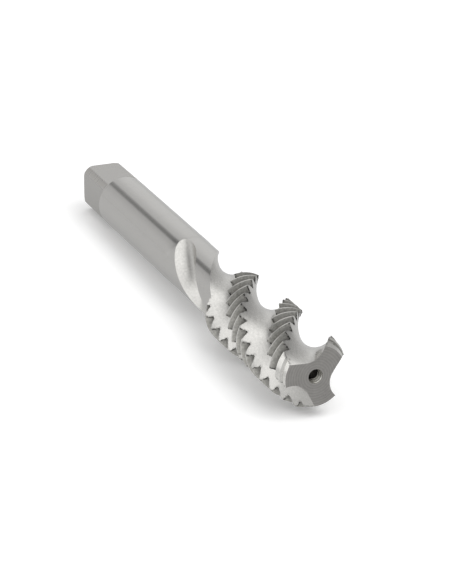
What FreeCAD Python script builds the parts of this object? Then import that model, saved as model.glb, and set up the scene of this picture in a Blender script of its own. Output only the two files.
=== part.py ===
"""Spiral flute tap, M12 x 1.75, right hand: one solid of ground tool steel, in millimetres.

The tap is built standing on its square end, with +Z along its axis towards the cutting tip, and
is then laid down. In its own frame the axis is +X, the tip points to +X, +Z is up with two flats
of the drive square level, and the origin lies on the axis at the face of the square end.
"""
import FreeCAD, Part
import math
import os

V = FreeCAD.Vector
AXIS = V(0, 0, 1)
BASE = V(0, 0, 0)

# Shank and drive square: the shank is ground to size between the square and the neck, which is
# a little thinner, and the square's corners fall away slightly towards their end
overall_length = 89.0
shank_diameter = 9.0
square_across_flats = 7.1
square_length = 10.0
square_end_diameter = 8.9
square_end_chamfer = 0.4
neck_start = 40.0
neck_diameter = 8.9
neck_fall_length = 0.8

# Threaded body, from the tip back: chamfered lead, full thread, taper down to the neck
thread_diameter = 12.06
thread_length = 28.0
thread_back_slope = 35.0
tip_face_diameter = 9.66
lead_chamfer_length = 2.8

# Thread form: 60 degree V groove with a small flat at its root, right hand
thread_pitch = 1.75
thread_root_diameter = 9.9
thread_crest_flat = 0.22
thread_flank_angle = 30.0
groove_turn_at_tip = 52.7
gap_overrun = 12.5

# Flutes, right hand: a hook arc from the cutting edge to the web, then a straight rise to the heel.
# The arc is made in equal bands, and the wheel leaves the flute leaning towards the heel
flute_count = 3
flute_lead = 47.0
web_diameter = 5.0
hook_radius = 3.0
hook_bands = 3
land_angle = 41.0
cutting_edge_turn = 45.8
flute_full_length = 40.0
wheel_radius = 19.5
run_out_lean = 55.0
run_out_sections = 3

# Centre holes that the tap is ground between
centre_mouth_diameter = 2.3
centre_pilot_diameter = 1.3
centre_pilot_depth = 2.6
centre_cone_angle = 30.0

# How far cutting tools reach past the surfaces that they cut
clearance = 1.5

shank_radius = shank_diameter / 2
square_end_radius = square_end_diameter / 2
neck_radius = neck_diameter / 2
crest_radius = thread_diameter / 2
root_radius = thread_root_diameter / 2
web_radius = web_diameter / 2
flute_pitch_angle = 360.0 / flute_count
back_taper_length = (crest_radius - neck_radius) / math.tan(math.radians(thread_back_slope))


def polar(radius, angle, height=0.0):
    """Point at a radius and an angle in degrees round the axis."""
    a = math.radians(angle)
    return V(radius * math.cos(a), radius * math.sin(a), height)


def turned(outline):
    """Solid of revolution of a closed outline of (radius, height) points."""
    points = [V(radius, 0, height) for radius, height in outline]
    face = Part.Face(Part.makePolygon(points + points[:1]))
    return face.revolve(BASE, AXIS, 360)


def around_axis(shape, count):
    """Copies of a shape, evenly spaced round the axis."""
    copies = []
    for k in range(count):
        copy = shape.copy()
        copy.rotate(BASE, AXIS, 360.0 * k / count)
        copies.append(copy)
    return copies


def blank():
    """The turned blank: shank, neck, tapered back of the thread, threaded body and lead."""
    thread_back = overall_length - thread_length
    return turned([
        (0, 0),
        (square_end_radius - square_end_chamfer, 0),
        (square_end_radius, square_end_chamfer),
        (shank_radius, square_length),
        (shank_radius, neck_start),
        (neck_radius, neck_start + neck_fall_length),
        (neck_radius, thread_back - back_taper_length),
        (crest_radius, thread_back),
        (crest_radius, overall_length - lead_chamfer_length),
        (tip_face_diameter / 2, overall_length),
        (0, overall_length),
    ])


def square_cutter():
    """What is milled away round the drive square: a block less the square bar inside it."""
    block = shank_diameter + 2 * clearance
    depth = square_length + clearance
    side = square_across_flats
    around = Part.makeBox(block, block, depth, V(-block / 2, -block / 2, -clearance))
    bar = Part.makeBox(side, side, depth, V(-side / 2, -side / 2, -clearance))
    return around.cut(bar)


def centre_hole():
    """Centre hole that opens downwards at height 0: a 60 degree mouth and a pilot."""
    mouth = centre_mouth_diameter / 2
    pilot = centre_pilot_diameter / 2
    cone_depth = (mouth - pilot) / math.tan(math.radians(centre_cone_angle))
    return turned([
        (0, 0),
        (mouth, 0),
        (pilot, cone_depth),
        (pilot, centre_pilot_depth),
        (0, centre_pilot_depth),
    ])


def tooth_gap():
    """The gap between two teeth of a land: a short piece of the thread's groove, centred at angle 0.

    Its V section, across the axis, is carried along the helix of one thread pitch, far enough
    to come out of the land on both sides.
    """
    flare = math.tan(math.radians(thread_flank_angle))
    outer_radius = crest_radius + clearance / 4
    half_crest = (thread_pitch - thread_crest_flat) / 2
    half_root = half_crest - (crest_radius - root_radius) * flare
    half_outer = half_crest + (outer_radius - crest_radius) * flare
    section = Part.makePolygon([
        V(root_radius, 0, -half_root),
        V(outer_radius, 0, -half_outer),
        V(outer_radius, 0, half_outer),
        V(root_radius, 0, half_root),
        V(root_radius, 0, -half_root),
    ])
    turn = land_angle + 2 * gap_overrun
    rise = thread_pitch * turn / 360
    helix = Part.Wire(Part.makeHelix(thread_pitch, rise, root_radius))
    gap = helix.makePipeShell([section], True, True)
    gap.rotate(BASE, AXIS, -turn / 2)
    gap.translate(V(0, 0, -rise / 2))
    return gap


def tooth_gaps():
    """Every tooth gap: where the one groove of the thread crosses each land, from the tip back.

    Land and groove both climb round the axis, so the groove meets the same land again after a
    little more than one pitch.
    """
    gap = tooth_gap()
    step = thread_pitch / (1 - thread_pitch / flute_lead)
    thread_end = overall_length - thread_length - back_taper_length
    gaps = []
    for k in range(flute_count):
        middle = k * flute_pitch_angle - land_angle / 2
        turns_ahead = (flute_turn(overall_length) + middle - groove_turn_at_tip) / 360
        height = overall_length + turns_ahead % 1 * step
        while height > thread_end:
            placed = gap.copy()
            placed.rotate(BASE, AXIS, flute_turn(height) + middle)
            placed.translate(V(0, 0, height))
            gaps.append(placed)
            height -= step
    return gaps


def hook_arcs(centre, edge, foot):
    """The hook from the cutting edge to its foot, as hook_bands equal arcs round one centre."""
    start = edge - centre
    sweep = start.getAngle(foot - centre)
    arcs = []
    for k in range(hook_bands):
        points = []
        for share in (0.0, 0.5, 1.0):
            turn = FreeCAD.Rotation(AXIS, -math.degrees(sweep) * (k + share) / hook_bands)
            points.append(centre + turn.multVec(start))
        arcs.append(Part.Arc(*points).toShape())
    return arcs


def flute_section():
    """Section of a flute across the axis, with the crest of its cutting edge at angle 0.

    From the cutting edge a concave hook arc runs down past the web, up to the point where a
    straight line leaves it for the heel of the next land; an arc outside the tap closes it.
    Returns the closed wire and the direction in which the wheel leaves the flute.
    """
    centre_distance = web_radius + hook_radius
    edge_cosine = crest_radius ** 2 + centre_distance ** 2 - hook_radius ** 2
    centre_turn = math.degrees(math.acos(edge_cosine / (2 * crest_radius * centre_distance)))
    centre = polar(centre_distance, centre_turn)
    edge = polar(crest_radius, 0)
    heel = polar(crest_radius, flute_pitch_angle - land_angle)

    from_heel = centre - heel
    bearing = math.atan2(from_heel.y, from_heel.x) - math.asin(hook_radius / from_heel.Length)
    inwards = V(math.cos(bearing), math.sin(bearing), 0)
    foot = heel + inwards * math.sqrt(from_heel.Length ** 2 - hook_radius ** 2)
    heel_out = heel - inwards * clearance
    edge_out = edge + AXIS.cross(edge - centre).normalize() * clearance
    outside = polar(crest_radius + 2 * clearance, (flute_pitch_angle - land_angle) / 2)
    section = Part.Wire(
        [Part.LineSegment(edge_out, edge).toShape()]
        + hook_arcs(centre, edge, foot)
        + [Part.LineSegment(foot, heel_out).toShape(), Part.Arc(heel_out, outside, edge_out).toShape()]
    )
    return section, polar(1.0, centre_turn + run_out_lean)


def flute_turn(height):
    """Angle of a flute's cutting edge at a height: the flute turns once in each lead."""
    return cutting_edge_turn + 360.0 * (height - overall_length) / flute_lead


def flute_cutter():
    """One flute's cutter: a helical sweep at full depth, with the wheel's run-out into the shank.

    The grinding wheel leaves the shank along its own rim, so the run-out is lofted through
    sections that rise by the sagitta of the wheel over the distance along the flute.
    """
    section, outwards = flute_section()
    full_depth_back = overall_length - flute_full_length
    helix = Part.Wire(Part.makeHelix(flute_lead, flute_full_length + clearance, web_radius))
    sweep = helix.makePipeShell([section], True, True)
    sweep.rotate(BASE, AXIS, flute_turn(full_depth_back))
    sweep.translate(V(0, 0, full_depth_back))

    along_flute = math.hypot(1.0, 2 * math.pi * shank_radius / flute_lead)
    reach = (web_radius + hook_radius) * math.cos(math.radians(run_out_lean))
    clear = shank_radius + hook_radius + clearance / 3
    full_lift = math.sqrt(reach ** 2 + clear ** 2 - (web_radius + hook_radius) ** 2) - reach
    run_out = math.sqrt(full_lift * (2 * wheel_radius - full_lift)) / along_flute
    sections = []
    for k in range(run_out_sections + 1):
        back = run_out * k / run_out_sections
        lift = wheel_radius - math.sqrt(wheel_radius ** 2 - (back * along_flute) ** 2)
        raised = section.copy()
        raised.translate(outwards * lift)
        raised.rotate(BASE, AXIS, flute_turn(full_depth_back - back))
        raised.translate(V(0, 0, full_depth_back - back))
        sections.append(raised)
    return [sweep, Part.makeLoft(sections, True, False)]


def spiral_flute_tap():
    """The whole tap, ground from its blank."""
    tap = blank()
    flutes = []
    for tool in flute_cutter():
        flutes += around_axis(tool, flute_count)
    tap = tap.cut(flutes)
    tap = tap.cut(tooth_gaps())
    rear_centre = centre_hole()
    tip_centre = centre_hole().mirror(BASE, AXIS)
    tip_centre.translate(V(0, 0, overall_length))
    tap = tap.cut([square_cutter(), rear_centre, tip_centre])
    tap = tap.Solids[0]
    tap.rotate(BASE, V(0, 1, 0), 90)
    return tap


os.makedirs("parts", exist_ok=True)
tap = spiral_flute_tap()
tap.exportStep("parts/spiral_flute_tap.step")
box = tap.BoundBox
print("spiral_flute_tap valid %s, %.1f mm3, %.2f x %.2f x %.2f mm" % (
    tap.isValid(), tap.Volume, box.XLength, box.YLength, box.ZLength))
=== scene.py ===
"""Looks of a spiral flute tap: a ground steel bar with helical flutes, thread teeth and a drive square.

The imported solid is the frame. Its one node is replaced by a finer mesh of the same form, worked out
from the same sizes, and dressed in the finishes that grinding and turning leave on tool steel.
Lengths are millimetres until a mesh is made. Angles round the axis are degrees from +Z towards -Y.
"""

import logging
import math
from dataclasses import dataclass, field
from enum import Enum, IntEnum

import bpy
import numpy as np
from mathutils import Matrix, Vector
from mathutils.geometry import tessellate_polygon

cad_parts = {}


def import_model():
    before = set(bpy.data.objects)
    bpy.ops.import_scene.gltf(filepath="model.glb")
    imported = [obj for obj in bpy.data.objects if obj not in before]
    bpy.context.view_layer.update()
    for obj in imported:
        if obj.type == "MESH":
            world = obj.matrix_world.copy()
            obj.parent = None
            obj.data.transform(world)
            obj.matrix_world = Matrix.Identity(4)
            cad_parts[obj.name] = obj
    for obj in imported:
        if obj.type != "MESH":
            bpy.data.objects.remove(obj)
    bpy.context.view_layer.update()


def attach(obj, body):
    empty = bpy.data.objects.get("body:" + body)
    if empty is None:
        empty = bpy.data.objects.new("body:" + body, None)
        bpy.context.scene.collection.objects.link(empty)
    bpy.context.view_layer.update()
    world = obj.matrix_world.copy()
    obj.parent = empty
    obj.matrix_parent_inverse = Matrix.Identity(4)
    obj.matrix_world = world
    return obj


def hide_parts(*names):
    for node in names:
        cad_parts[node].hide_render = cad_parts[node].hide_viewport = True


log = logging.getLogger("spiral_flute_tap")

METRES = 0.001
MICRON = 1e-6
LOBES = 3
WELD = 1e-4
FAR_FROM_BORDER = 9.0
RING_DRIFT = 0.15
LOBE_TURN = 360.0 / LOBES
IMAGE_WIDTH = 452
IMAGE_HEIGHT = 584


class Finish(IntEnum):
    """The ways in which the tap's surfaces were finished, in the order of its material slots."""

    SHANK = 0
    FLAT = 1
    TURNED_END = 2
    CENTRE_HOLE = 3
    FLUTE = 4
    LAND = 5
    FLANK = 6
    TIP_FACE = 7
    CORNER = 8
    # Painted shade: the pilot hole's colour is much darker than the steel's, for the shade deep in the hole.
    PILOT = 9


@dataclass(frozen=True)
class TapSizes:
    """Sizes of the tap in millimetres and degrees, those that the part's source gives."""

    overall_length: float = 89.0
    shank_radius: float = 4.5
    square_half: float = 3.55
    square_length: float = 10.0
    square_end_radius: float = 4.45
    square_end_chamfer: float = 0.4
    neck_start: float = 40.0
    neck_fall_length: float = 0.8
    neck_radius: float = 4.45
    crest_radius: float = 6.03
    thread_back: float = 61.0
    thread_back_slope: float = 35.0
    tip_face_radius: float = 4.83
    lead_chamfer_length: float = 2.8
    pitch: float = 1.75
    root_radius: float = 4.95
    crest_flat: float = 0.22
    flank_angle: float = 30.0
    groove_turn: float = -127.3
    flute_lead: float = 47.0
    web_radius: float = 2.5
    hook_radius: float = 3.0
    land_angle: float = 41.0
    edge_turn: float = -134.2
    full_depth_back: float = 49.0
    wheel_radius: float = 19.5
    run_out_lean: float = 55.0
    centre_mouth_radius: float = 1.15
    centre_pilot_radius: float = 0.65
    centre_pilot_depth: float = 2.6
    centre_cone_angle: float = 30.0

    @property
    def last_groove(self) -> float:
        """Place along the axis past which the lead is ground bright, its shallow groove with it."""
        return self.overall_length - self.pitch

    @property
    def taper_start(self) -> float:
        """Place along the axis where the neck starts to rise to the thread."""
        rise = self.crest_radius - self.neck_radius
        return self.thread_back - rise / math.tan(math.radians(self.thread_back_slope))

    def blank(self, x: np.ndarray) -> np.ndarray:
        """Radius of the turned blank along the axis: straight lines between its named places.

        Args:
            x: places along the axis.
        Returns:
            The radius at each place.
        """
        places = [0.0, self.square_end_chamfer, self.square_length, self.neck_start,
                  self.neck_start + self.neck_fall_length, self.taper_start, self.thread_back,
                  self.overall_length - self.lead_chamfer_length, self.overall_length]
        radii = [self.square_end_radius - self.square_end_chamfer, self.square_end_radius,
                 self.shank_radius, self.shank_radius, self.neck_radius, self.neck_radius,
                 self.crest_radius, self.crest_radius, self.tip_face_radius]
        return np.interp(x, places, radii)


def around(radius: np.ndarray, psi: np.ndarray, x: np.ndarray) -> np.ndarray:
    """Points at a radius and an angle round the axis: (x, -r sin psi, r cos psi).

    Args:
        radius: distances from the axis.
        psi: angles in degrees from +Z towards -Y.
        x: places along the axis.
    Returns:
        The points, with the coordinates in the last dimension.
    """
    radius, psi, x = np.broadcast_arrays(radius, np.radians(psi), x)
    return np.stack([x, -radius * np.sin(psi), radius * np.cos(psi)], axis=-1)


def ray(turn: float) -> np.ndarray:
    """Unit vector across the axis, at an angle in radians."""
    return np.array([math.cos(turn), math.sin(turn)])


def widened(x: np.ndarray, count: int) -> np.ndarray:
    """A column of values, repeated over a number of columns."""
    return np.repeat(x[:, None], count, axis=1)


def into_scene(name: str, data: bpy.types.ID) -> bpy.types.Object:
    """Makes an object of a mesh, a lamp or a camera.

    Args:
        name: the object's name.
        data: the mesh, the lamp or the camera.
    Returns:
        The object, in the scene and at the origin.
    """
    made = bpy.data.objects.new(name, data)
    bpy.context.scene.collection.objects.link(made)
    return made


@dataclass
class FluteForm:
    """Form of one flute: a hook arc and a straight rise across the axis, carried along a helix."""

    sizes: TapSizes
    longest_run_out: float = 20.0
    halvings: int = 60

    def __post_init__(self) -> None:
        """Works out the hook's centre, its foot and the straight's direction from the sizes."""
        s = self.sizes
        rho, crest = s.hook_radius, s.crest_radius
        distance = s.web_radius + rho
        cosine = (crest ** 2 + distance ** 2 - rho ** 2) / (2 * crest * distance)
        self.centre_turn = math.acos(cosine)
        self.centre = distance * ray(self.centre_turn)
        heel = crest * ray(math.radians(LOBE_TURN - s.land_angle))
        gap = self.centre - heel
        reach = math.hypot(*gap)
        bearing = math.atan2(gap[1], gap[0]) - math.asin(rho / reach)
        foot = heel + math.sqrt(reach ** 2 - rho ** 2) * ray(bearing)
        self.foot_turn = math.atan2(*(foot - self.centre)[::-1]) % (2 * math.pi)
        self.foot_place = rho * (self.centre_turn + math.pi - self.foot_turn)
        self.rise = np.array([math.sin(self.foot_turn), -math.cos(self.foot_turn)])
        self.lift_way = ray(self.centre_turn + math.radians(s.run_out_lean))
        self.along_flute = math.hypot(1.0, 2 * math.pi * s.shank_radius / s.flute_lead)

    def edge_turn(self, x: np.ndarray) -> np.ndarray:
        """Angle of the first cutting edge's crest: it turns once in each lead."""
        return self.sizes.edge_turn + 360.0 * (x - self.sizes.overall_length) / self.sizes.flute_lead

    def lift(self, x: np.ndarray) -> np.ndarray:
        """How far the wheel has left the full depth: the sagitta of its rim over the way along the flute.

        Args:
            x: places along the axis.
        Returns:
            The lift as a vector across the axis, with its coordinates in the last dimension.
        """
        wheel = self.sizes.wheel_radius
        along = np.maximum(self.sizes.full_depth_back - x, 0.0) * self.along_flute
        height = wheel - np.sqrt(np.maximum(wheel ** 2 - along ** 2, 0.0))
        return height[..., None] * self.lift_way

    def curve(self, place: np.ndarray, x: np.ndarray) -> np.ndarray:
        """Points of the flute's section, seen along the axis from the cutting edge's direction.

        Up to the foot the point is on the hook circle, place / radius before the web point. Past the
        foot it runs on along the straight. The wheel's lift is added.

        Args:
            place: distances along the section from the web point, towards the heel.
            x: places along the axis.
        Returns:
            Points across the axis, with the coordinates in the last dimension.
        """
        place, x = np.broadcast_arrays(place, x)
        rho = self.sizes.hook_radius
        turn = np.maximum(self.centre_turn + math.pi - place / rho, self.foot_turn)
        past = np.maximum(place - self.foot_place, 0.0)
        bent = rho * np.stack([np.cos(turn), np.sin(turn)], axis=-1)
        return self.centre + bent + past[..., None] * self.rise + self.lift(x)

    def ends(self, radius: np.ndarray, x: np.ndarray) -> tuple[np.ndarray, np.ndarray]:
        """Where the flute's section leaves a circle round the axis, on the edge's and the heel's side.

        The hook circle meets a circle of that radius where the law of cosines says; past the foot the
        straight line meets it where its squared length equals the squared radius.

        Args:
            radius: radii of the circle.
            x: places along the axis.
        Returns:
            The places along the section at the cutting edge and at the heel.
        """
        radius, x = np.broadcast_arrays(radius, x)
        rho = self.sizes.hook_radius
        centre = self.centre + self.lift(x)
        far = np.linalg.norm(centre, axis=-1)
        turn = np.arctan2(centre[..., 1], centre[..., 0])
        opening = np.arccos(np.clip((far ** 2 + rho ** 2 - radius ** 2) / (2 * far * rho), -1.0, 1.0))
        at_edge = rho * (self.centre_turn - turn - opening)
        at_heel = rho * (self.centre_turn - turn + opening)
        foot = centre + rho * ray(self.foot_turn)
        along = foot @ self.rise
        square = np.maximum(along ** 2 + radius ** 2 - np.sum(foot ** 2, axis=-1), 0.0)
        past = self.foot_place - along + np.sqrt(square)
        return at_edge, np.where(at_heel > self.foot_place, past, at_heel)

    def turn_of(self, place: np.ndarray, x: np.ndarray) -> np.ndarray:
        """Angle in degrees, from the cutting edge's crest, of a point of the section."""
        point = self.curve(place, x)
        return np.degrees(np.arctan2(point[..., 1], point[..., 0]))

    def end_place(self) -> float:
        """Finds where the wheel has wholly left the neck, by halving the interval.

        Returns:
            The place along the axis.
        """
        low, high = self.sizes.full_depth_back - self.longest_run_out, self.sizes.full_depth_back
        for _ in range(self.halvings):
            middle = (low + high) / 2
            nearest = math.hypot(*(self.centre + self.lift(np.array(middle)))) - self.sizes.hook_radius
            if nearest > float(self.sizes.blank(middle)):
                low = middle
            else:
                high = middle
        return high


@dataclass
class Patch:
    """A grid of points, the finish of its cells, the points' places in the marks and off the border."""

    finish: np.ndarray
    points: np.ndarray
    pattern: np.ndarray
    border: np.ndarray

    def triangles(self) -> np.ndarray:
        """Triangles of the patch: each cell is cut along its shorter diagonal.

        Returns:
            Numbers of the points at each triangle's corners, the cells' first halves before the second.
        """
        index = np.arange(self.border.size).reshape(self.border.shape)
        a, b, c, d = index[:-1, :-1], index[:-1, 1:], index[1:, 1:], index[1:, :-1]
        falling = np.linalg.norm(self.points[:-1, :-1] - self.points[1:, 1:], axis=-1)
        rising = np.linalg.norm(self.points[:-1, 1:] - self.points[1:, :-1], axis=-1)
        keep = (falling <= rising)[..., None]
        first = np.where(keep, np.stack([a, b, c], -1), np.stack([a, b, d], -1))
        second = np.where(keep, np.stack([a, c, d], -1), np.stack([b, c, d], -1))
        return np.concatenate([first.reshape(-1, 3), second.reshape(-1, 3)])


@dataclass
class TapBody:
    """The whole tap as one closed mesh, made of patches that share their borders."""

    sizes: TapSizes = field(default_factory=TapSizes)
    land_columns: int = 40
    flute_columns: int = 26
    flute_crowding: float = 0.16
    lobe_step: float = 20.0
    flank_rows: int = 4
    groove_turns: tuple[int, int] = (-22, 5)
    groove_steps: int = 40
    neck_rows: int = 20
    run_out_rows: int = 40
    shank_rows: int = 15
    chamfer_rows: int = 5
    past_chamfer: float = 1.0
    square_rows: int = 8
    flat_columns: int = 25
    corner_columns: int = 5
    end_face_rows: int = 4
    hole_columns: int = 96

    def __post_init__(self) -> None:
        """Prepares the flute's form and the list of patches."""
        self.flute = FluteForm(self.sizes)
        self.patches: list[Patch] = []

    def add(self, finish: Finish | np.ndarray, points: np.ndarray, pattern: np.ndarray,
            bordered: bool = False) -> None:
        """Keeps a grid of points as a patch of the skin.

        The distance from the border is the length of the row up to the nearer of its ends, as the sum
        of the steps between its points.

        Args:
            finish: one finish for all its cells, or one for each row or cell.
            points: the points, rows by columns.
            pattern: place of each point in the tool's marks, in millimetres.
            bordered: whether the rows end at the sharp borders between lands and flutes.
        """
        cells = (points.shape[0] - 1, points.shape[1] - 1)
        steps = np.linalg.norm(np.diff(points, axis=1), axis=-1)
        run = np.concatenate([np.zeros((points.shape[0], 1)), np.cumsum(steps, axis=1)], axis=1)
        border = np.minimum(run, run[:, -1:] - run) if bordered else np.full(run.shape, FAR_FROM_BORDER)
        self.patches.append(Patch(np.broadcast_to(np.asarray(finish), cells), points, pattern, border))

    def add_turned(self, finish: Finish | np.ndarray, radius: np.ndarray, turns: np.ndarray, x: np.ndarray,
                   middle_radius: float, bordered: bool = False) -> np.ndarray:
        """Keeps a grid of points round the axis, whose marks lie on it as if it were unrolled.

        Args:
            finish: as in add.
            radius: distances from the axis.
            turns: angles round the axis.
            x: places along the axis.
            middle_radius: the radius whose arcs give the marks' place round the axis.
            bordered: as in add.
        Returns:
            The points.
        """
        points = around(radius, turns, x)
        pattern = np.stack([x, turns * math.radians(1.0) * middle_radius], axis=-1)
        self.add(finish, points, pattern, bordered)
        return points

    def land_turn(self, x: np.ndarray, radius: np.ndarray, lobe: int) -> np.ndarray:
        """Angles round the axis of a land's columns, evenly from the heel to the cutting edge.

        Args:
            x: places along the axis, rows by land_columns + 1.
            radius: radii of the same shape.
            lobe: number of the land.
        Returns:
            The angles.
        """
        share = np.linspace(0.0, 1.0, self.land_columns + 1)
        at_edge, at_heel = self.flute.ends(radius, x)
        edge = self.flute.turn_of(at_edge, x)
        heel = self.flute.turn_of(at_heel, x) - LOBE_TURN
        turn = heel + share * (edge - heel)
        return self.flute.edge_turn(x) + LOBE_TURN * lobe + turn

    def flute_grid(self, left: tuple, right: tuple, lobe: int) -> tuple[np.ndarray, np.ndarray]:
        """Points of a flute between a cutting edge and the heel of the next land.

        Place along the section and place along the axis both go from one border to the other, a little
        crowded towards the middle by a sine, and each point lies on the flute's section, turned with
        the helix.

        Args:
            left: radii and places along the axis at the cutting edge, one per row.
            right: the same at the heel of the next land.
            lobe: number of the flute.
        Returns:
            The points, and their places along and across the flute.
        """
        share = np.linspace(0.0, 1.0, self.flute_columns + 1)
        share = share + self.flute_crowding * np.sin(2 * math.pi * share) / (2 * math.pi)
        start = self.flute.ends(left[0], left[1])[0][:, None]
        end = self.flute.ends(right[0], right[1])[1][:, None]
        place = start + share * (end - start)
        x = left[1][:, None] + share * (right[1] - left[1])[:, None]
        section = self.flute.curve(place, x)
        radius = np.linalg.norm(section, axis=-1)
        turn = np.degrees(np.arctan2(section[..., 1], section[..., 0]))
        points = around(radius, self.flute.edge_turn(x) + LOBE_TURN * lobe + turn, x)
        return points, np.stack([x, place + self.lobe_step * lobe], axis=-1)

    def thread_rows(self, lobe: int) -> tuple[np.ndarray, np.ndarray]:
        """Rows of a land that follow the thread: crests, flanks and roots from the back to the tip.

        The groove's distance along the axis sets the radius: the root up to half its flat, then a rise
        by one over the tangent of the flank angle, and never more than the blank's radius. A row keeps
        its share of the way from the root's edge to the crest's edge, so the place along the axis
        is found by stepping: place -> radius -> angle on the land -> place.

        Args:
            lobe: number of the land; one more than the last is the first land, a turn further on.
        Returns:
            Places along the axis and radii.
        """
        s = self.sizes
        flare = math.tan(math.radians(s.flank_angle))
        half_crest = (s.pitch - s.crest_flat) / 2
        half_root = half_crest - (s.crest_radius - s.root_radius) * flare
        shares = np.linspace(0.0, 1.0, self.flank_rows + 1)
        side = np.concatenate([-np.ones(self.flank_rows + 1), np.ones(self.flank_rows + 1), [0.0]])
        share = np.concatenate([shares[::-1], shares, [0.0]])
        step = 1.0 / (1.0 / s.pitch - 1.0 / s.flute_lead)
        turns = np.arange(*self.groove_turns)
        number = widened(np.repeat(turns, len(side)), self.land_columns + 1)
        side = np.tile(side, len(turns))[:, None]
        share = np.tile(share, len(turns))[:, None]
        base = s.edge_turn + LOBE_TURN * lobe - s.groove_turn
        x = s.overall_length + number * step
        for _ in range(self.groove_steps):
            x = np.clip(x, s.taper_start, s.overall_length)
            blank = s.blank(x)
            crest_at = np.clip(half_root + (blank - s.root_radius) * flare, half_root, half_crest)
            off = np.where(side == 0, s.pitch / 2, half_root + share * (crest_at - half_root))
            groove = np.where(side == 0, s.crest_radius, s.root_radius + (off - half_root) / flare)
            radius = np.minimum(groove, blank)
            along = np.where(side == 0, 0.5, side * off / s.pitch)
            turn = self.land_turn(x, radius, lobe) - self.flute.edge_turn(x) - LOBE_TURN * lobe
            x = s.overall_length + (number + along + (base + turn) / 360.0) * step
        x = np.clip(x, s.taper_start, s.overall_length)
        return x, np.minimum(groove, s.blank(x))

    def threaded_part(self) -> None:
        """Lands with their teeth, and the flutes between them, from the neck's end to the tip."""
        s = self.sizes
        rows = [self.thread_rows(lobe) for lobe in range(LOBES + 1)]
        per_turn = 2 * self.flank_rows + 3
        for lobe in range(LOBES):
            x, radius = rows[lobe]
            crest = np.arange(len(x) - 1) % per_turn > 2 * self.flank_rows
            bright = crest[:, None] | (x[:-1, :-1] > s.last_groove)
            self.add_turned(np.where(bright, Finish.LAND, Finish.FLANK), radius,
                            self.land_turn(x, radius, lobe), x, s.crest_radius, bordered=True)
            next_x, next_radius = rows[lobe + 1]
            left, right = (radius[:, -1], x[:, -1]), (next_radius[:, 0], next_x[:, 0])
            points, pattern = self.flute_grid(left, right, lobe)
            self.add(Finish.FLUTE, points, pattern, bordered=True)

    def fluted_neck(self) -> np.ndarray:
        """Lands and flutes behind the thread, down to where the flutes run out.

        Returns:
            Angles round the axis of the last ring, starting with the first land's heel.
        """
        s = self.sizes
        end = self.flute.end_place()
        deep = np.linspace(s.taper_start, s.full_depth_back, self.neck_rows + 1)
        share = np.linspace(1.0, 0.0, self.run_out_rows + 1)[1:]
        x = np.concatenate([deep, end + (s.full_depth_back - end) * share ** 2])[::-1]
        radius = s.blank(x)
        wide = widened(x, self.land_columns + 1)
        for lobe in range(LOBES):
            turns = self.land_turn(wide, s.blank(wide), lobe)
            self.add_turned(Finish.SHANK, s.blank(wide), turns, wide, s.shank_radius)
            points, pattern = self.flute_grid((radius, x), (radius, x), lobe)
            self.add(Finish.FLUTE, points, pattern)
        first = self.land_turn(wide[:1], s.blank(wide[:1]), 0)[0, 0]
        columns = LOBES * self.land_columns
        return first + np.arange(columns + 1) * 360.0 / columns

    def square_turns(self, radius: float, start: float) -> np.ndarray:
        """Angles for a ring of the square: even steps over each flat, and others over each corner.

        Args:
            radius: the blank's radius at the ring, which sets where a flat ends.
            start: the angle that the ring should start near.
        Returns:
            The angles, rising through one whole turn.
        """
        half = math.degrees(math.acos(self.sizes.square_half / radius))
        quarter = np.concatenate([np.linspace(-half, half, self.flat_columns + 1),
                                  np.linspace(half, 90.0 - half, self.corner_columns + 1)[1:-1]])
        count = len(quarter)
        number = (math.floor(start / 90.0) - 1) * count + np.arange(7 * count)
        turns = quarter[number % count] + 90.0 * (number // count)
        first = int(np.argmin(np.abs(turns - start)))
        return turns[first:first + 4 * count + 1]

    def shank(self, ring: np.ndarray) -> None:
        """Plain shank, drive square and rear end with its centre hole.

        The shank is a ring carried along the axis, whose columns drift from the flutes' ends to the
        corners of the square. On the square the radius is the flat's distance over the cosine of the
        angle from the flat's middle, where that is less than the blank's.

        Args:
            ring: angles of the ring where the flutes end.
        """
        s = self.sizes
        end = self.flute.end_place()
        even = np.linspace(s.neck_start, s.square_length, self.shank_rows + 1)
        x = np.concatenate([[end], even])[::-1]
        goal = self.square_turns(s.shank_radius, ring[0])
        share = ((x - s.square_length) / (end - s.square_length))[:, None]
        wide = widened(x, len(ring))
        self.add_turned(Finish.SHANK, s.blank(wide), goal + share * (ring - goal), wide, s.shank_radius)

        x = np.concatenate([np.linspace(0.0, s.square_end_chamfer, self.chamfer_rows + 1),
                            np.linspace(self.past_chamfer, s.square_length, self.square_rows)])
        turns = np.array([self.square_turns(float(s.blank(place)), ring[0]) for place in x])
        wide = widened(x, turns.shape[1])
        from_flat = (turns + 45.0) % 90.0 - 45.0
        radius = np.minimum(s.blank(wide), s.square_half / np.cos(np.radians(from_flat)))
        from_corner = np.abs((turns[:-1, :-1] + turns[:-1, 1:]) / 2 % 90.0 - 45.0)
        half_corner = 45.0 - np.degrees(np.arccos(s.square_half / s.blank(wide[:-1, :-1])))
        square = self.add_turned(np.where(from_corner < half_corner, Finish.CORNER, Finish.FLAT),
                                 radius, turns, wide, s.shank_radius)

        rim = around(s.blank(wide[-1:]), turns[-1:], wide[-1:])
        shoulder = np.concatenate([square[-1:], rim])
        self.add(Finish.FLAT, shoulder, np.zeros_like(shoulder[..., 1:]))
        self.rear_end(square[0])

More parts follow.
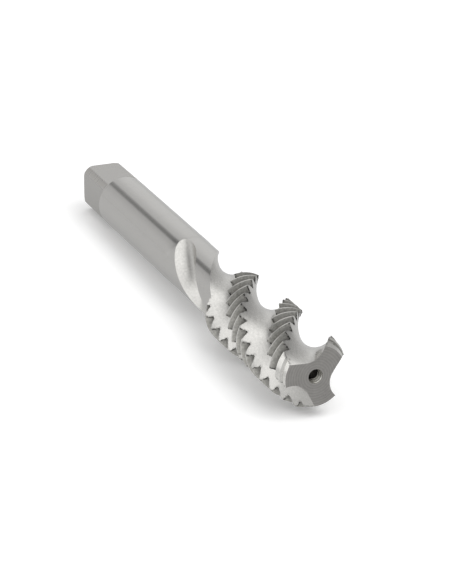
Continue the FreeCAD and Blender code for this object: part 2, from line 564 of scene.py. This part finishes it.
    def centre_hole(self, turns: np.ndarray, face: float, inwards: int) -> np.ndarray:
        """Centre hole: straight lines from the mouth down the cone and the pilot to the middle.

        Args:
            turns: angles of its columns.
            face: place along the axis of the face that it opens in.
            inwards: 1 if it goes in towards the tip, -1 if it goes in towards the rear.
        Returns:
            Points of its mouth.
        """
        s = self.sizes
        mouth, pilot, depth = s.centre_mouth_radius, s.centre_pilot_radius, s.centre_pilot_depth
        cone = (mouth - pilot) / math.tan(math.radians(s.centre_cone_angle))
        radii = np.array([mouth, pilot, pilot, 0.0])[:, None]
        depths = np.array([0.0, cone, depth, depth])[:, None]
        rings = around(radii, turns[None, :], face + inwards * depths)
        # The pilot takes a dark colour: painted shade deep in the hole.
        for finish, rows in ((Finish.CENTRE_HOLE, rings[:2]), (Finish.PILOT, rings[1:])):
            rows = rows[::-inwards]
            self.add(finish, rows, rows[..., 1:])
        return rings[0]

    def rear_end(self, rim: np.ndarray) -> None:
        """Rear end face, straight from its rim to its centre hole, and the hole.

        Args:
            rim: points of the face's rim.
        """
        mouth = self.centre_hole(np.degrees(np.arctan2(-rim[:, 1], rim[:, 2])), 0.0, 1)
        share = np.linspace(1.0, 0.0, self.end_face_rows + 1)[:, None, None]
        face = rim + share * (mouth - rim)
        self.add(Finish.TURNED_END, face, face[..., 1:])

    def tip_outline(self) -> np.ndarray:
        """Outline of the tip's face: three arcs of the lead chamfer and three flute sections.

        Returns:
            Its points, in order round the axis.
        """
        x = np.full((1, self.land_columns + 1), self.sizes.overall_length)
        radius = self.sizes.blank(x)
        parts = []
        for lobe in range(LOBES):
            parts.append(around(radius, self.land_turn(x, radius, lobe), x)[0, :-1])
            left = (radius[:, -1], x[:, -1])
            parts.append(self.flute_grid(left, left, lobe)[0][0, :-1])
        return np.concatenate(parts)

    def tip_face(self) -> tuple[np.ndarray, np.ndarray]:
        """Face of the tip, and the centre hole in it: a flat polygon with a hole, cut into triangles.

        Returns:
            The face's points and its triangles.
        """
        outline = self.tip_outline()
        turns = np.linspace(0.0, 360.0, self.hole_columns + 1)
        mouth = self.centre_hole(turns, self.sizes.overall_length, -1)[:-1]
        loops = [[Vector((y, z, 0.0)) for _, y, z in loop.tolist()] for loop in (outline, mouth)]
        face = np.array(tessellate_polygon(loops))
        points = np.concatenate([outline, mouth])
        corner = points[face][..., 1:]
        one, other = corner[:, 1] - corner[:, 0], corner[:, 2] - corner[:, 0]
        clockwise = one[:, 0] * other[:, 1] - one[:, 1] * other[:, 0] < 0
        face[clockwise] = face[clockwise][:, ::-1]
        return points, face

    def assemble(self) -> tuple[np.ndarray, np.ndarray, np.ndarray, np.ndarray]:
        """Joins the patches and the tip's face into one mesh of triangles.

        Points closer than the weld distance become one, and triangles that lose a corner by it are
        left out.

        Returns:
            Points, triangles, finish of each triangle, and for each triangle's corners the place in the
            marks and the distance from the border.
        """
        tip_points, tip_triangles = self.tip_face()
        starts = np.cumsum([0] + [patch.border.size for patch in self.patches])
        faces = [patch.triangles() + start for patch, start in zip(self.patches, starts)]
        faces = np.concatenate(faces + [tip_triangles + starts[-1]])
        finishes = [np.tile(patch.finish.ravel(), 2) for patch in self.patches]
        finishes = np.concatenate(finishes + [np.full(len(tip_triangles), Finish.TIP_FACE)])
        points = np.concatenate([patch.points.reshape(-1, 3) for patch in self.patches] + [tip_points])
        patterns = [np.dstack([patch.pattern, patch.border]).reshape(-1, 3) for patch in self.patches]
        tip_pattern = np.column_stack([tip_points[:, 1:], np.full(len(tip_points), FAR_FROM_BORDER)])
        patterns = np.concatenate(patterns + [tip_pattern])
        _, keep, weld = np.unique(np.round(points / WELD).astype(np.int64), axis=0,
                                  return_index=True, return_inverse=True)
        welded = weld.reshape(-1)[faces]
        whole = np.all(welded != np.roll(welded, 1, axis=1), axis=1)
        return points[keep], welded[whole], finishes[whole], patterns[faces[whole]]

    def build(self) -> bpy.types.Object:
        """Makes the tap's mesh object, with a sharp edge wherever the form or the finish breaks.

        Returns:
            The object, at the origin and in metres.
        """
        self.threaded_part()
        self.shank(self.fluted_neck())
        points, faces, finishes, patterns = self.assemble()
        mesh = bpy.data.meshes.new("tap_steel")
        mesh.from_pydata((points * METRES).tolist(), [], faces.tolist())
        mesh.polygons.foreach_set("material_index", finishes.astype(np.int32))
        mesh.polygons.foreach_set("use_smooth", np.ones(len(faces), dtype=bool))
        pattern = mesh.uv_layers.new(name="ground")
        pattern.data.foreach_set("uv", patterns[..., :2].astype(np.float32).ravel())
        border = mesh.attributes.new("border", "FLOAT", "CORNER")
        border.data.foreach_set("value", patterns[..., 2].astype(np.float32).ravel())
        mark_sharp(mesh, points, faces, finishes)
        mesh.validate()
        tap = into_scene("tap_steel", mesh)
        log.info("tap_steel: %d points, %d triangles", len(points), len(faces))
        return tap


def mark_sharp(mesh: bpy.types.Mesh, points: np.ndarray, faces: np.ndarray, finishes: np.ndarray,
               limit: float = 17.0) -> None:
    """Marks the edges between two finishes, and those that bend by more than a limit, as sharp.

    The bend is the angle between the normals of the two triangles that share the edge.

    Args:
        mesh: the mesh, whose faces are the given triangles in the same order.
        points: its points.
        faces: its triangles.
        finishes: the finish of each triangle.
        limit: the bend in degrees.
    """
    normal = np.cross(points[faces[:, 1]] - points[faces[:, 0]], points[faces[:, 2]] - points[faces[:, 0]])
    normal /= np.maximum(np.linalg.norm(normal, axis=1, keepdims=True), 1e-12)
    edge_of = np.empty(len(mesh.loops), dtype=np.int32)
    mesh.loops.foreach_get("edge_index", edge_of)
    face_of = np.repeat(np.arange(len(faces)), 3)
    order = np.argsort(edge_of, kind="stable")
    edges, faced = edge_of[order], face_of[order]
    paired = edges[:-1] == edges[1:]
    one, other = faced[:-1][paired], faced[1:][paired]
    bend = np.einsum("ij,ij->i", normal[one], normal[other]) < math.cos(math.radians(limit))
    sharp = np.zeros(len(mesh.edges), dtype=bool)
    sharp[edges[:-1][paired]] = bend | (finishes[one] != finishes[other])
    log.info("open edges: %d", len(mesh.edges) - int(paired.sum()))
    layer = mesh.attributes.new("sharp_edge", "BOOLEAN", "EDGE")
    layer.data.foreach_set("value", sharp)


class MarkWay(Enum):
    """The way in which the marks of the tool run over a surface."""

    ALONG_FLUTE = "along the flute"
    ROUND_AXIS = "round the axis"
    RINGS = "rings about the axis"


@dataclass(frozen=True)
class SteelFinish:
    """One finish of the steel: its colour, its gloss and the marks that its tool left.

    Marks are noise drawn out along the tool's way, of which the ring share is an even wave. Root painted
    shade is how much of the colour is left at the bottom of the thread, as painted shade in the roots. Edge
    specks are how much darker the specks are that the grinding left along the borders of lands and flutes.
    """

    name: str
    colour: tuple[float, float, float]
    roughness: float
    way: MarkWay
    marks_per_mm: float
    mark_depth: float
    anisotropy: float = 0.0
    tone_change: float = 0.08
    gloss_change: float = 0.05
    stretch: float = 0.045
    ring_share: float = 0.0
    grain: float = 0.0
    root_painted_shade: float = 1.0
    edge_specks: float = 0.0


FINISHES = {
    Finish.SHANK: SteelFinish("steel_shank", (0.63, 0.62, 0.60), 0.19, MarkWay.ROUND_AXIS, 3.0, 0.25, 0.6,
                              tone_change=0.035, gloss_change=0.02, grain=0.04),
    Finish.FLAT: SteelFinish("steel_square", (0.53, 0.52, 0.50), 0.26, MarkWay.ROUND_AXIS, 2.0, 0.12, 0.4,
                             tone_change=0.05, gloss_change=0.02, stretch=0.15, grain=0.05),
    Finish.TURNED_END: SteelFinish("steel_rear_end", (0.56, 0.55, 0.53), 0.34, MarkWay.RINGS, 2.8, 2.5,
                                   tone_change=0.16, ring_share=0.5, grain=0.08),
    Finish.CENTRE_HOLE: SteelFinish("steel_centre_hole", (0.56, 0.55, 0.52), 0.20, MarkWay.RINGS, 6.0, 12.0,
                                    ring_share=0.95, grain=0.04),
    Finish.FLUTE: SteelFinish("steel_flute", (0.665, 0.655, 0.63), 0.22, MarkWay.ALONG_FLUTE, 2.2, 0.8, 0.25,
                              tone_change=0.07, gloss_change=0.05, stretch=0.2, grain=0.15, edge_specks=0.45),
    Finish.LAND: SteelFinish("steel_crest", (0.74, 0.73, 0.70), 0.26, MarkWay.ROUND_AXIS, 4.0, 0.6, 0.3,
                             grain=0.12, edge_specks=0.5),
    # The flank's colour darkens towards the thread's root: painted shade.
    Finish.FLANK: SteelFinish("steel_flank", (0.56, 0.55, 0.515), 0.32, MarkWay.ROUND_AXIS, 5.0, 0.8, 0.3,
                              tone_change=0.12, stretch=0.3, grain=0.60, root_painted_shade=0.38, edge_specks=0.95),
    # Partly painted shade: the tip face's colour is kept far darker than the steel's for the shade that it
    # mirrors; its rings are real turning marks.
    Finish.TIP_FACE: SteelFinish("steel_tip_face", (0.37, 0.36, 0.345), 0.30, MarkWay.RINGS, 2.4, 4.2,
                                 tone_change=0.22, ring_share=0.75, grain=0.14),
    # Painted shade: the pilot's colour is much darker than the steel's, for the shade deep in the hole.
    Finish.PILOT: SteelFinish("steel_pilot_hole_painted_shade", (0.27, 0.265, 0.25), 0.35, MarkWay.RINGS, 6.0, 6.0,
                              ring_share=0.5, grain=0.05),
    Finish.CORNER: SteelFinish("steel_corner", (0.57, 0.555, 0.53), 0.28, MarkWay.ROUND_AXIS, 1.5, 0.15,
                               tone_change=0.03, gloss_change=0.02, grain=0.05),
}


@dataclass
class NodeMaker:
    """Adds nodes to a tree and links them."""

    tree: bpy.types.NodeTree

    def add(self, kind: str, inputs: dict | None = None, **settings: object) -> bpy.types.Node:
        """Adds a node.

        Args:
            kind: the node's type, without its common prefix.
            inputs: for each input, by name or number, a value or the socket that feeds it.
            settings: values of the node's own properties.
        Returns:
            The node.
        """
        node = self.tree.nodes.new("ShaderNode" + kind if not kind.startswith("Node") else kind)
        for name, value in settings.items():
            setattr(node, name, value)
        self.feed(node, inputs or {})
        return node

    def feed(self, node: bpy.types.Node, inputs: dict) -> None:
        """Gives a node's inputs their values, or links the sockets that feed them.

        Args:
            node: the node.
            inputs: for each input, by name or number, a value or the socket that feeds it.
        """
        for name, value in inputs.items():
            if isinstance(value, bpy.types.NodeSocket):
                self.tree.links.new(value, node.inputs[name])
            else:
                node.inputs[name].default_value = value

    def maths(self, operation: str, *values: object) -> bpy.types.NodeSocket:
        """Result of a Math node on numbers or sockets."""
        return self.add("Math", dict(enumerate(values)), operation=operation).outputs[0]

    def vector(self, operation: str, *values: object, output: str = "Vector") -> bpy.types.NodeSocket:
        """Result of a Vector Math node, as a vector or as a value."""
        return self.add("VectorMath", dict(enumerate(values)), operation=operation).outputs[output]

    def noise(self, place: bpy.types.NodeSocket, scale: float, detail: float,
              roughness: float) -> bpy.types.NodeSocket:
        """Level of a noise at a place."""
        inputs = {"Vector": place, "Scale": scale, "Detail": detail, "Roughness": roughness}
        return self.add("TexNoise", inputs).outputs[0]

    def mix(self, share: object, one: object, other: object) -> bpy.types.NodeSocket:
        """A value between two others: the first where the share is 0, the second where it is 1."""
        return self.add("Mix", {0: share, 2: one, 3: other}, data_type="FLOAT").outputs[0]

    def ramp(self, value: bpy.types.NodeSocket, start: object, end: object, first: object = 0.0,
             last: object = 1.0, way: str = "LINEAR") -> bpy.types.NodeSocket:
        """A value that goes from first to last while another goes from start to end.

        Args:
            value: the other value.
            start: its level up to which the result is first.
            end: its level past which the result is last.
            first: the result at the start.
            last: the result at the end.
            way: LINEAR for a straight line, SMOOTHSTEP for a smooth one.
        Returns:
            The socket with the result.
        """
        inputs = {0: value, 1: start, 2: end, 3: first, 4: last}
        return self.add("MapRange", inputs, interpolation_type=way).outputs[0]

    def place(self, tree: bpy.types.NodeTree, inputs: dict) -> bpy.types.bpy_prop_collection:
        """Places a node group and feeds it.

        Args:
            tree: the group's tree.
            inputs: for each input, by name, a value or the socket that feeds it.
        Returns:
            The group's outputs.
        """
        return self.add("Group", inputs, node_tree=tree).outputs


def cleared(owner: bpy.types.ID) -> NodeMaker:
    """Maker of the nodes of a material or a world, whose tree it empties first."""
    owner.use_nodes = True
    owner.node_tree.nodes.clear()
    return NodeMaker(owner.node_tree)


@dataclass
class Group:
    """A node group with named sockets, made once and placed in each material with its own values."""

    name: str
    inputs: dict[str, str]
    outputs: dict[str, str]

    def __post_init__(self) -> None:
        """Makes the group's tree and its sockets."""
        self.tree = bpy.data.node_groups.new(self.name, "ShaderNodeTree")
        for way, sockets in (("INPUT", self.inputs), ("OUTPUT", self.outputs)):
            for name, kind in sockets.items():
                self.tree.interface.new_socket(name, in_out=way, socket_type="NodeSocket" + kind)
        self.maker = NodeMaker(self.tree)
        self.entry = self.maker.add("NodeGroupInput").outputs
        self.exit = self.maker.add("NodeGroupOutput").inputs

    def put_out(self, name: str, socket: bpy.types.NodeSocket) -> None:
        """Links a socket to one of the group's outputs."""
        self.tree.links.new(socket, self.exit[name])


def tool_marks(fine_scale: float = 3.7, fine_share: float = 0.45, wave_push: float = 0.35,
               line_range: tuple[float, float] = (0.30, 0.70)) -> bpy.types.NodeTree:
    """Group for the marks of grinding and turning: noise drawn out along the marks, and an even wave.

    Place comes in millimetres, with X across the marks and Y along them. The noise has two sizes. The
    wave is the sine of the place across, pushed to and fro by the coarser noise. Height and Lines are
    both the noise and the wave, mixed by Rings.

    Args:
        fine_scale: how many times finer the second size of the noise is.
        fine_share: its share of the height.
        wave_push: how far the coarser noise pushes the wave, in wavelengths.
        line_range: levels of the coarser noise at which Lines is 0 and 1.
    Returns:
        The group's tree.
    """
    group = Group("tool_marks", {"Place": "Vector", "Per mm": "Float", "Stretch": "Float", "Rings": "Float"},
                  {"Height": "Float", "Lines": "Float"})
    make, entry = group.maker, group.entry
    split = make.add("SeparateXYZ", {0: entry["Place"]})
    across = make.maths("MULTIPLY", split.outputs[0], entry["Per mm"])
    along = make.maths("MULTIPLY", split.outputs[1], entry["Stretch"])
    place = make.add("CombineXYZ", {0: across, 1: along, 2: split.outputs[2]}).outputs[0]
    coarse = make.noise(place, 1.0, 3.0, 0.6)
    fine = make.noise(place, fine_scale, 2.0, 0.5)
    noise = make.maths("MULTIPLY_ADD", fine, fine_share, coarse)
    phase = make.maths("MULTIPLY", make.maths("MULTIPLY_ADD", coarse, wave_push, across), 2 * math.pi)
    wave = make.maths("MULTIPLY_ADD", make.maths("SINE", phase), 0.5, 0.5)
    for name, plain in (("Height", noise), ("Lines", make.ramp(coarse, *line_range))):
        group.put_out(name, make.mix(entry["Rings"], plain, wave))
    return group.tree


def steel_tone(clouds_per_metre: float = 260.0, grains_per_metre: float = 2600.0, cloud_share: float = 0.9,
               least_roughness: float = 0.05) -> bpy.types.NodeTree:
    """Group for how steel's colour and gloss change: with the marks, in clouds, in grains, and by Shade,
    which brings the painted shade towards the thread's root and the edge specks.

    Change = lines - 0.5 + cloud share x (clouds - 0.5). Colour = colour x shade x (1 + tone change x
    change + 2 grain x (grains - 0.5)), and roughness = roughness + gloss change x change.

    Args:
        clouds_per_metre: scale of the clouds' noise.
        grains_per_metre: scale of the grains' noise.
        cloud_share: how much the clouds count beside the lines.
        least_roughness: the roughness doesn't go below it.
    Returns:
        The group's tree.
    """
    group = Group("steel_tone", {"Colour": "Color", "Roughness": "Float", "Lines": "Float", "Body": "Vector",
                                 "Tone change": "Float", "Gloss change": "Float", "Grain": "Float",
                                 "Shade": "Float"},
                  {"Colour": "Color", "Roughness": "Float"})
    make, entry = group.maker, group.entry
    clouds = make.noise(entry["Body"], clouds_per_metre, 4.0, 0.55)
    grains = make.noise(entry["Body"], grains_per_metre, 2.5, 0.6)
    centred = make.maths("SUBTRACT", entry["Lines"], 0.5)
    cloudy = make.maths("SUBTRACT", clouds, 0.5)
    change = make.maths("MULTIPLY_ADD", cloudy, cloud_share, centred)
    grainy = make.maths("MULTIPLY", make.maths("SUBTRACT", grains, 0.5), 2.0)
    gain = make.maths("MULTIPLY_ADD", change, entry["Tone change"], 1.0)
    gain = make.maths("MULTIPLY_ADD", grainy, entry["Grain"], gain)
    gain = make.maths("MULTIPLY", gain, entry["Shade"])
    colour = make.add("VectorMath", {0: entry["Colour"], "Scale": gain}, operation="SCALE")
    duller = make.maths("MULTIPLY_ADD", change, entry["Gloss change"], entry["Roughness"])
    group.put_out("Colour", colour.outputs[0])
    group.put_out("Roughness", make.maths("MAXIMUM", duller, least_roughness))
    return group.tree


def root_painted_shade() -> bpy.types.NodeTree:
    """Group for painted shade: the thread's colour darkens towards its root, by the distance from the axis.

    Shade rises in a straight line from Darkest at the root's radius to 1 at the crest's.

    Returns:
        The group's tree.
    """
    group = Group("root_painted_shade", {"Body": "Vector", "Root": "Float", "Crest": "Float", "Darkest": "Float"},
                  {"Shade": "Float"})
    make, entry = group.maker, group.entry
    across = make.vector("MULTIPLY", entry["Body"], (0.0, 1.0, 1.0))
    radius = make.vector("LENGTH", across, output="Value")
    group.put_out("Shade", make.ramp(radius, entry["Root"], entry["Crest"], entry["Darkest"]))
    return group.tree


def edge_specks(reach: float = 0.45, specks_per_metre: float = 2900.0,
                speck_range: tuple[float, float] = (0.44, 0.54)) -> bpy.types.NodeTree:
    """Group for the dark specks along the borders of lands and flutes.

    Specks are where a noise is high, and they fade out with the distance from the border. Shade is the
    shade that comes in x (1 - depth x specks).

    Args:
        reach: distance from the border in millimetres at which they are gone.
        specks_per_metre: scale of the noise.
        speck_range: levels of the noise at which a speck begins and is full.
    Returns:
        The group's tree.
    """
    group = Group("edge_specks", {"Body": "Vector", "Border": "Float", "Depth": "Float", "Shade": "Float"},
                  {"Shade": "Float"})
    make, entry = group.maker, group.entry
    near = make.ramp(entry["Border"], 0.0, reach, 1.0, 0.0, "SMOOTHSTEP")
    speck = make.ramp(make.noise(entry["Body"], specks_per_metre, 2.0, 0.6), *speck_range)
    specks = make.maths("MULTIPLY", make.maths("MULTIPLY", near, speck), entry["Depth"])
    left = make.maths("SUBTRACT", 1.0, specks)
    group.put_out("Shade", make.maths("MULTIPLY", left, entry["Shade"]))
    return group.tree


@dataclass
class SteelDresser:
    """Makes a material for each finish and gives them to the tap."""

    sizes: TapSizes
    marks: bpy.types.NodeTree = field(default_factory=tool_marks)
    tone: bpy.types.NodeTree = field(default_factory=steel_tone)
    shade: bpy.types.NodeTree = field(default_factory=root_painted_shade)
    specks: bpy.types.NodeTree = field(default_factory=edge_specks)

    def place_on(self, make: NodeMaker, way: MarkWay) -> bpy.types.NodeSocket:
        """Place in millimetres, with X across the tool's marks and Y along them.

        Args:
            make: maker of the material's tree.
            way: how the marks run.
        Returns:
            The socket with the place.
        """
        if way is MarkWay.RINGS:
            body = make.add("TexCoord").outputs["Object"]
            place = make.vector("MULTIPLY", body, (0.0, 1.0 / METRES, 1.0 / METRES))
            radius = make.vector("LENGTH", place, output="Value")
            split = make.add("SeparateXYZ", {0: place})
            drift = make.maths("MULTIPLY", split.outputs[2], RING_DRIFT)
            return make.add("CombineXYZ", {0: radius, 1: split.outputs[1], 2: drift}).outputs[0]
        ground = make.add("UVMap", uv_map="ground").outputs[0]
        if way is MarkWay.ROUND_AXIS:
            return ground
        split = make.add("SeparateXYZ", {0: ground})
        return make.add("CombineXYZ", {0: split.outputs[1], 1: split.outputs[0]}).outputs[0]

    def material(self, finish: SteelFinish) -> bpy.types.Material:
        """Material of one finish: metal whose marks move its colour, gloss and normal.

        Args:
            finish: the finish.
        Returns:
            The material.
        """
        made = bpy.data.materials.new(finish.name)
        make = cleared(made)
        place = self.place_on(make, finish.way)
        body = make.add("TexCoord").outputs["Object"]
        marks = make.place(self.marks, {"Place": place, "Per mm": finish.marks_per_mm,
                                        "Stretch": finish.stretch, "Rings": finish.ring_share})
        shade = 1.0
        # Painted shade: the colour darkens towards the thread's root.
        if finish.root_painted_shade < 1.0:
            s = self.sizes
            shade = make.place(self.shade, {"Body": body, "Root": s.root_radius * METRES,
                                            "Crest": s.crest_radius * METRES,
                                            "Darkest": finish.root_painted_shade})["Shade"]
        if finish.edge_specks:
            border = make.add("Attribute", attribute_name="border").outputs["Fac"]
            shade = make.place(self.specks, {"Body": body, "Border": border, "Shade": shade,
                                             "Depth": finish.edge_specks})["Shade"]
        tone = make.place(self.tone, {"Lines": marks["Lines"], "Body": body, "Shade": shade,
                                      "Colour": (*finish.colour, 1.0), "Roughness": finish.roughness,
                                      "Tone change": finish.tone_change, "Grain": finish.grain,
                                      "Gloss change": finish.gloss_change})
        bump = make.add("Bump", {"Strength": 1.0, "Distance": finish.mark_depth * MICRON,
                                 "Height": marks["Height"]})
        steel = make.add("BsdfPrincipled", {"Metallic": 1.0, "Base Color": tone["Colour"],
                                            "Roughness": tone["Roughness"], "Normal": bump.outputs[0]})
        if finish.anisotropy:
            tangent = make.add("Tangent", direction_type="UV_MAP", uv_map="ground").outputs[0]
            quarter_turn = 0.25 if finish.way is MarkWay.ALONG_FLUTE else 0.0
            make.feed(steel, {"Tangent": tangent, "Anisotropic": finish.anisotropy,
                              "Anisotropic Rotation": quarter_turn})
        make.add("OutputMaterial", {"Surface": steel.outputs[0]})
        return made

    def dress(self, tap: bpy.types.Object) -> None:
        """Gives the tap its materials, in the order of the finishes.

        Args:
            tap: the tap's object.
        """
        for kind in Finish:
            tap.data.materials.append(self.material(FINISHES[kind]))
            log.info("finish: %s", FINISHES[kind].name)


@dataclass(frozen=True)
class Direction:
    """Where something stands, seen from the tap: azimuth from +X towards +Y, and elevation."""

    azimuth: float
    elevation: float

    def way(self) -> Vector:
        """Unit vector towards it."""
        a, e = math.radians(self.azimuth), math.radians(self.elevation)
        return Vector((math.cos(a) * math.cos(e), math.sin(a) * math.cos(e), math.sin(e)))


@dataclass(frozen=True)
class SoftPanel(Direction):
    """A soft patch of light or shade in the surroundings, full up to one angle and gone at another."""

    inner: float
    outer: float
    strength: float


PANELS = (
    SoftPanel(0.0, 90.0, 15.0, 50.0, 0.71),
    SoftPanel(-97.0, 18.0, 14.0, 46.0, 0.58),
    SoftPanel(-97.0, 50.0, 8.0, 36.0, 0.16),
    SoftPanel(-135.0, 12.0, 8.0, 36.0, 0.17),
    SoftPanel(-135.0, 50.0, 8.0, 36.0, -0.23),
    SoftPanel(172.0, 10.0, 8.0, 36.0, 0.18),
    SoftPanel(175.0, 48.0, 8.0, 34.0, 0.04),
    SoftPanel(140.0, 20.0, 8.0, 36.0, 0.14),
    SoftPanel(135.0, 55.0, 8.0, 36.0, 0.08),
    SoftPanel(100.0, 20.0, 8.0, 36.0, -0.13),
    SoftPanel(60.0, 10.0, 10.0, 40.0, -0.08),
    SoftPanel(-30.0, 50.0, 10.0, 45.0, -0.22),
    SoftPanel(-55.0, 15.0, 10.0, 40.0, 0.14),
    SoftPanel(0.0, 15.0, 10.0, 40.0, 0.15),
    SoftPanel(-42.0, 4.0, 6.0, 24.0, 0.16),
    SoftPanel(14.0, 34.0, 6.0, 26.0, -0.17),
    SoftPanel(-169.0, 29.7, 2.5, 7.5, -0.45),
)


@dataclass(frozen=True)
class SoftLamp(Direction):
    """A large round lamp that lights the floor."""

    power: float
    size: float = 1.1
    distance: float = 1.0

    def build(self, name: str, aim: Vector) -> None:
        """Makes the lamp, facing a point. The steel doesn't mirror it.

        Args:
            name: the lamp's name.
            aim: the point, in metres.
        """
        way = self.way()
        data = bpy.data.lights.new(name, "AREA")
        data.shape = "DISK"
        data.size = self.size
        data.energy = self.power
        lamp = into_scene(name, data)
        turn = way.to_track_quat("Z", "Y").to_matrix().to_4x4()
        lamp.matrix_world = Matrix.Translation(aim + way * self.distance) @ turn
        lamp.visible_glossy = False


LAMPS = (SoftLamp(35.0, 52.0, 4.4, 0.9), SoftLamp(110.0, 60.0, 0.8))


def soft_panel() -> bpy.types.NodeTree:
    """Group for one panel: full strength inside its inner angle, none outside its outer one.

    The angle is that between the direction looked in and the panel's own, and the fall between the
    two limits is a smooth step on the angle's cosine.

    Returns:
        The group's tree.
    """
    group = Group("soft_panel", {"Way": "Vector", "Panel": "Vector", "Outer": "Float", "Inner": "Float",
                                 "Strength": "Float"}, {"Level": "Float"})
    make, entry = group.maker, group.entry
    cosine = make.vector("DOT_PRODUCT", entry["Way"], entry["Panel"], output="Value")
    share = make.ramp(cosine, entry["Outer"], entry["Inner"], way="SMOOTHSTEP")
    group.put_out("Level", make.maths("MULTIPLY", share, entry["Strength"]))
    return group.tree


@dataclass
class Studio:
    """Camera, floor and light: a pale floor under a plain soft light.

    The steel doesn't mirror the white that the camera sees, but the grey room, its panels and a greyer
    floor, as levels with mirrored in their names.
    """

    sizes: TapSizes
    azimuth: float = 22.9234
    elevation: float = 22.3046
    roll: float = 0.2787
    focal_pixels: float = 2737.673
    tip_pixel: tuple[float, float] = (315.581, 376.428)
    tip_depth: float = 401.244
    floor_half: float = 2.5
    sensor: float = 36.0
    floor_seen: float = 0.98
    floor_mirrored: float = 0.25
    floor_glow_seen: float = 0.10
    # Painted light: a glowing patch on the floor by the tip, which only the steel mirrors.
    floor_painted_glow: float = 0.14
    floor_painted_glow_middle: tuple[float, float, float] = (75.0, -20.0, 0.0)
    floor_painted_glow_reach: tuple[float, float] = (10.0, 34.0)
    floor_glow_mirrored: float = 0.36
    room_level: float = 0.466

    def camera(self) -> None:
        """Camera at the photograph's place: azimuth from +X towards -Y, elevation and roll turn it."""
        a, e, r = (math.radians(v) for v in (self.azimuth, self.elevation, self.roll))
        back = Vector((math.cos(a) * math.cos(e), -math.sin(a) * math.cos(e), math.sin(e)))
        right = Vector((0, 0, 1)).cross(back).normalized()
        up = back.cross(right)
        right, up = math.cos(r) * right + math.sin(r) * up, -math.sin(r) * right + math.cos(r) * up
        scale = self.tip_depth / self.focal_pixels
        tip = Vector((self.sizes.overall_length, 0, 0))
        place = tip - (right * (self.tip_pixel[0] - IMAGE_WIDTH / 2) * scale
                       - up * (self.tip_pixel[1] - IMAGE_HEIGHT / 2) * scale - back * self.tip_depth)
        data = bpy.data.cameras.new("camera")
        data.sensor_width = self.sensor
        data.lens = self.focal_pixels * self.sensor / IMAGE_HEIGHT
        data.clip_start, data.clip_end = 0.01, 20.0
        camera = into_scene("camera", data)
        turn = Matrix((right, up, back)).transposed()
        camera.matrix_world = Matrix.Translation(place * METRES) @ turn.to_4x4()
        bpy.context.scene.camera = camera

    def floor(self) -> None:
        """Floor that touches the shank's shoulder and the back of the thread: it falls towards the tip."""
        s = self.sizes
        fall = (s.crest_radius - s.shank_radius) / (s.thread_back - s.square_length)
        across = self.floor_half * np.array([[-1, -1], [1, -1], [1, 1], [-1, 1]])
        height = -s.shank_radius * METRES - fall * (across[:, 0] - s.square_length * METRES)
        mesh = bpy.data.meshes.new("floor")
        mesh.from_pydata(np.column_stack([across, height]).tolist(), [], [(0, 1, 2, 3)])
        floor = into_scene("floor", mesh)
        mesh.materials.append(self.floor_white())

    def floor_white(self) -> bpy.types.Material:
        """Matt white of the floor. The steel mirrors it greyer and more evenly lit, with a painted glow by
        the tip that the camera doesn't see.

        Returns:
            The material.
        """
        made = bpy.data.materials.new("floor_white")
        make = cleared(made)
        seen = make.add("LightPath").outputs["Is Camera Ray"]
        level = make.mix(seen, self.floor_mirrored, self.floor_seen)
        colour = make.add("CombineColor", {0: level, 1: level, 2: level}).outputs[0]
        matt = make.add("BsdfDiffuse", {"Color": colour}).outputs[0]
        # Painted light: the floor glows more near the tip, only in what the steel mirrors.
        place = make.add("TexCoord").outputs["Object"]
        plan = make.vector("MULTIPLY", place, (1.0, 1.0, 0.0))
        middle = Vector(self.floor_painted_glow_middle) * METRES
        off = make.vector("DISTANCE", plan, middle, output="Value")
        full, none = (reach * METRES for reach in self.floor_painted_glow_reach)
        near = make.ramp(off, full, none, 1.0, 0.0, "SMOOTHSTEP")
        mirrored = make.maths("MULTIPLY_ADD", near, self.floor_painted_glow, self.floor_glow_mirrored)
        glow = make.mix(seen, mirrored, self.floor_glow_seen)
        even = make.add("Emission", {"Color": (1.0, 1.0, 1.0, 1.0), "Strength": glow}).outputs[0]
        both = make.add("AddShader", {0: matt, 1: even}).outputs[0]
        make.add("OutputMaterial", {"Surface": both})
        return made

    def world(self) -> None:
        """Surroundings: an even grey room with soft panels in it, and plain white to the camera."""
        world = bpy.data.worlds.new("surroundings")
        make = cleared(world)
        way = make.add("TexCoord").outputs["Generated"]
        tree, level = soft_panel(), self.room_level
        for panel in PANELS:
            outer, inner = (math.cos(math.radians(angle)) for angle in (panel.outer, panel.inner))
            share = make.place(tree, {"Way": way, "Panel": panel.way(), "Strength": panel.strength,
                                      "Outer": outer, "Inner": inner})
            level = make.maths("ADD", level, share[0])
        seen = make.add("LightPath").outputs["Is Camera Ray"]
        level = make.mix(seen, level, 1.0)
        light = make.add("Background", {"Color": (1.0, 1.0, 1.0, 1.0), "Strength": level})
        make.add("OutputWorld", {"Surface": light.outputs[0]})
        bpy.context.scene.world = world

    def build(self) -> None:
        """Makes the camera, the floor and the light."""
        self.camera()
        self.floor()
        self.world()
        middle = Vector((self.sizes.overall_length / 2 * METRES, 0, 0))
        for number, lamp in enumerate(LAMPS):
            lamp.build(f"soft_lamp_{number}", middle)
        bpy.context.scene.view_settings.view_transform = "Standard"


def main() -> None:
    """Loads the frame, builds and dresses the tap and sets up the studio."""
    logging.basicConfig(level=logging.INFO, format="%(name)s: %(message)s")
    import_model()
    body = TapBody()
    tap = body.build()
    SteelDresser(body.sizes).dress(tap)
    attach(tap, "root")
    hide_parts("spiral_flute_tap")
    Studio(body.sizes).build()


if __name__ == "__main__":
    main()
